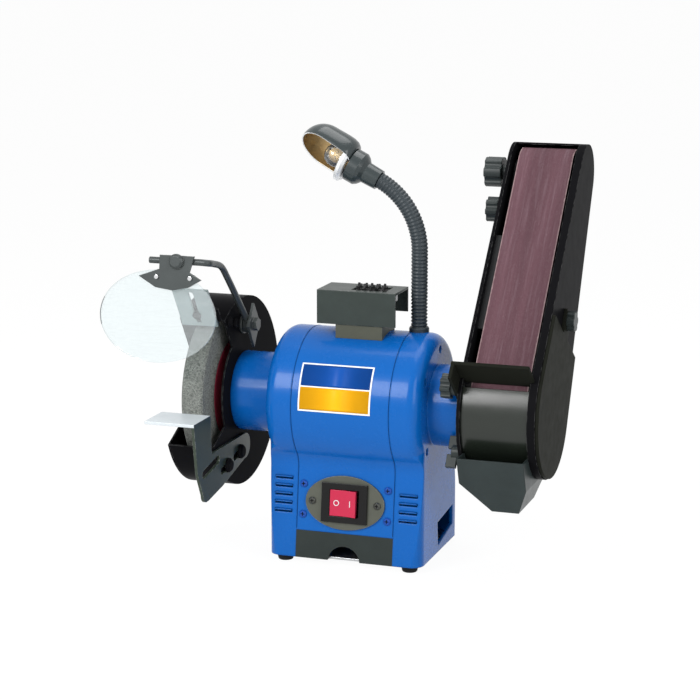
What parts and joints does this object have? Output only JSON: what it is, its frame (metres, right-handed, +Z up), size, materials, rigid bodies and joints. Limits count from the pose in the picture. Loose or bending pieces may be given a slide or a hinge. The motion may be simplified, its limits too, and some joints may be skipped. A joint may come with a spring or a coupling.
{
  "type": "bench grinder and belt sander",
  "caption": "Bench machine with a guarded grinding wheel on one end of the motor shaft and a leaning, tilting belt sander arm on the other, with eye shield, tool rests, work lamp and wheel dresser",
  "frame": {"origin": "on the bench, at the centre of the rectangle of foot bolts", "axes": "+X along the motor shaft towards the belt arm, +Y from the switch side to the rear, +Z up"},
  "size_m": [0.386, 0.2804, 0.385],
  "materials": {
    "blue_paint": "gloss",
    "black_paint": "semi-gloss",
    "dark_cover": "satin",
    "zinc_plate": "satin",
    "black_rubber": "matt",
    "bronze_plate": "brushed",
    "black_plastic": "gloss",
    "red_plastic": "gloss",
    "screw_steel": "bright",
    "blue_screws": "gloss",
    "label_yellow": "gloss",
    "laminations": "matt",
    "copper_coils": "varnished",
    "ground_steel": "ground",
    "capacitor_can": "satin",
    "abrasive_stone": "grainy",
    "paper_red": "paper",
    "light_grey_paint": "satin",
    "clear_shield": "clear",
    "grey_steel": "satin",
    "olive_paint": "satin",
    "black_steel": "matt",
    "lamp_grey": "semi-gloss",
    "lamp_glass": "clear",
    "drum_rubber": "matt",
    "abrasive_cloth": "grainy",
    "knob_plastic": "satin",
    "chute_plastic": "satin",
    "rest_steel": "satin"
  },
  "bodies": {
    "base": {"motor_shell": "blue_paint", "end_cap_left": "blue_paint", "end_cap_right": "blue_paint", "base_cover": "dark_cover", "base_plate": "zinc_plate", "rubber_feet": "black_rubber", "switch_plate": "bronze_plate", "switch_frame": "black_plastic", "switch_screws": "screw_steel", "housing_screws": "blue_screws", "name_plate": "label_yellow", "cable_gland": "black_rubber", "stator_core": "laminations", "stator_windings": "copper_coils", "bearings": "ground_steel", "run_capacitor": "capacitor_can", "wheel_guard": "black_paint", "guard_cover": "black_paint", "guard_bolts": "screw_steel", "shield_clamp": "grey_steel", "dresser_base": "olive_paint", "lamp_neck": "lamp_grey", "arm_retainer": "zinc_plate"},
    "rotor": {"rotor_core": "laminations", "rotor_shaft": "ground_steel", "grinding_wheel": "abrasive_stone", "wheel_labels": "paper_red", "wheel_flanges": "ground_steel", "shaft_nuts": "screw_steel", "drive_drum": "drum_rubber"},
    "arm": {"arm_plate": "black_paint", "sanding_belt": "abrasive_cloth", "belt_platen": "ground_steel", "belt_housing": "black_paint", "drum_cover": "dark_cover", "dust_chute": "chute_plastic", "tension_spring": "ground_steel"},
    "carriage": {"idler_carriage": "ground_steel"},
    "idler": {"idler_roller": "ground_steel"},
    "tracking": {"tracking_knob": "knob_plastic"},
    "tension": {"tension_knob": "knob_plastic"},
    "rest_clamp": {"rest_knob": "knob_plastic"},
    "wing": {"wing_knob": "knob_plastic"},
    "side": {"side_cover": "dark_cover"},
    "side_clamp": {"side_knob": "black_plastic"},
    "sander_rest": {"belt_rest": "rest_steel"},
    "grinder_rest": {"tool_rest": "light_grey_paint"},
    "spark": {"spark_arrester": "light_grey_paint"},
    "rod": {"shield_rod": "grey_steel"},
    "shield": {"eye_shield": "clear_shield", "shield_bracket": "grey_steel", "shield_screws": "screw_steel"},
    "rocker": {"switch_rocker": "red_plastic"},
    "lamp_head": {"lamp_socket": "lamp_grey", "lamp_shade": "lamp_grey", "lamp_bulb": "lamp_glass"},
    "dresser": {"dresser_body": "olive_paint", "dresser_pin": "ground_steel"},
    "dresser_stars": {"dresser_wheels": "black_steel"}
  },
  "joints": [
    {"name": "rotor_spin", "type": "hinge", "parent": "base", "child": "rotor", "pos_m": [0, 0, 0.142], "axis": [1, 0, 0], "continuous": true},
    {"name": "arm_tilt", "type": "hinge", "parent": "base", "child": "arm", "pos_m": [0, 0, 0.142], "axis": [1, 0, 0], "range_deg": [-56.5, 33.5]},
    {"name": "idler_tension", "type": "slide", "parent": "arm", "child": "carriage", "axis": [0, 0.5519, 0.8339], "range_m": [-0.006, 0], "deforming": ["tension_spring"]},
    {"name": "idler_spin", "type": "hinge", "parent": "carriage", "child": "idler", "pos_m": [0, 0.12695, 0.33379], "axis": [1, 0, 0], "continuous": true},
    {"name": "tracking_turn", "type": "hinge", "parent": "carriage", "child": "tracking", "pos_m": [0, 0.12695, 0.33379], "axis": [1, 0, 0], "continuous": true},
    {"name": "tension_turn", "type": "hinge", "parent": "carriage", "child": "tension", "pos_m": [0, 0.10597, 0.30211], "axis": [1, 0, 0], "continuous": true},
    {"name": "sander_rest_slide", "type": "slide", "parent": "arm", "child": "sander_rest", "axis": [0, -0.7633, 0.646], "range_m": [0, 0.008]},
    {"name": "rest_knob_turn", "type": "hinge", "parent": "arm", "child": "rest_clamp", "pos_m": [0, -0.04345, 0.1696], "axis": [1, 0, 0], "continuous": true},
    {"name": "wing_knob_turn", "type": "hinge", "parent": "arm", "child": "wing", "pos_m": [0, -0.041, 0.111], "axis": [1, 0, 0], "continuous": true},
    {"name": "side_cover_slide", "type": "slide", "parent": "arm", "child": "side", "axis": [1, 0, 0], "range_m": [0, 0.025]},
    {"name": "side_knob_turn", "type": "hinge", "parent": "side", "child": "side_clamp", "pos_m": [0, 0.04802, 0.21455], "axis": [1, 0, 0], "continuous": true},
    {"name": "grinder_rest_slide", "type": "slide", "parent": "base", "child": "grinder_rest", "axis": [0, 0.9848, 0.1736], "range_m": [0, 0.0125]},
    {"name": "spark_slide", "type": "slide", "parent": "base", "child": "spark", "axis": [0, -0.5446, 0.8387], "range_m": [-0.004, 0.006]},
    {"name": "shield_swing", "type": "hinge", "parent": "base", "child": "rod", "pos_m": [0, -0.003, 0.204], "axis": [1, 0, 0], "range_deg": [-60, 5]},
    {"name": "shield_tilt", "type": "hinge", "parent": "rod", "child": "shield", "pos_m": [0, -0.097, 0.274], "axis": [1, 0, 0], "range_deg": [-75, 10]},
    {"name": "switch_rock", "type": "hinge", "parent": "base", "child": "rocker", "pos_m": [0, -0.04797, 0.05823], "axis": [0, 0.1149, 0.9934], "range_deg": [0, 14]},
    {"name": "lamp_swivel", "type": "hinge", "parent": "base", "child": "lamp_head", "pos_m": [0.01287, 0.009, 0.33694], "axis": [-0.891, 0, 0.454], "range_deg": [-90, 90]},
    {"name": "dresser_lift", "type": "slide", "parent": "base", "child": "dresser", "axis": [0, 0, 1], "range_m": [0, 0.04]},
    {"name": "dresser_spin", "type": "hinge", "parent": "dresser", "child": "dresser_stars", "pos_m": [0, -0.005, 0.238], "axis": [1, 0, 0], "continuous": true}
  ],
  "couplings": [
    {"joint": "idler_spin", "follows": "rotor_spin", "ratio": 2.2273}
  ]
}
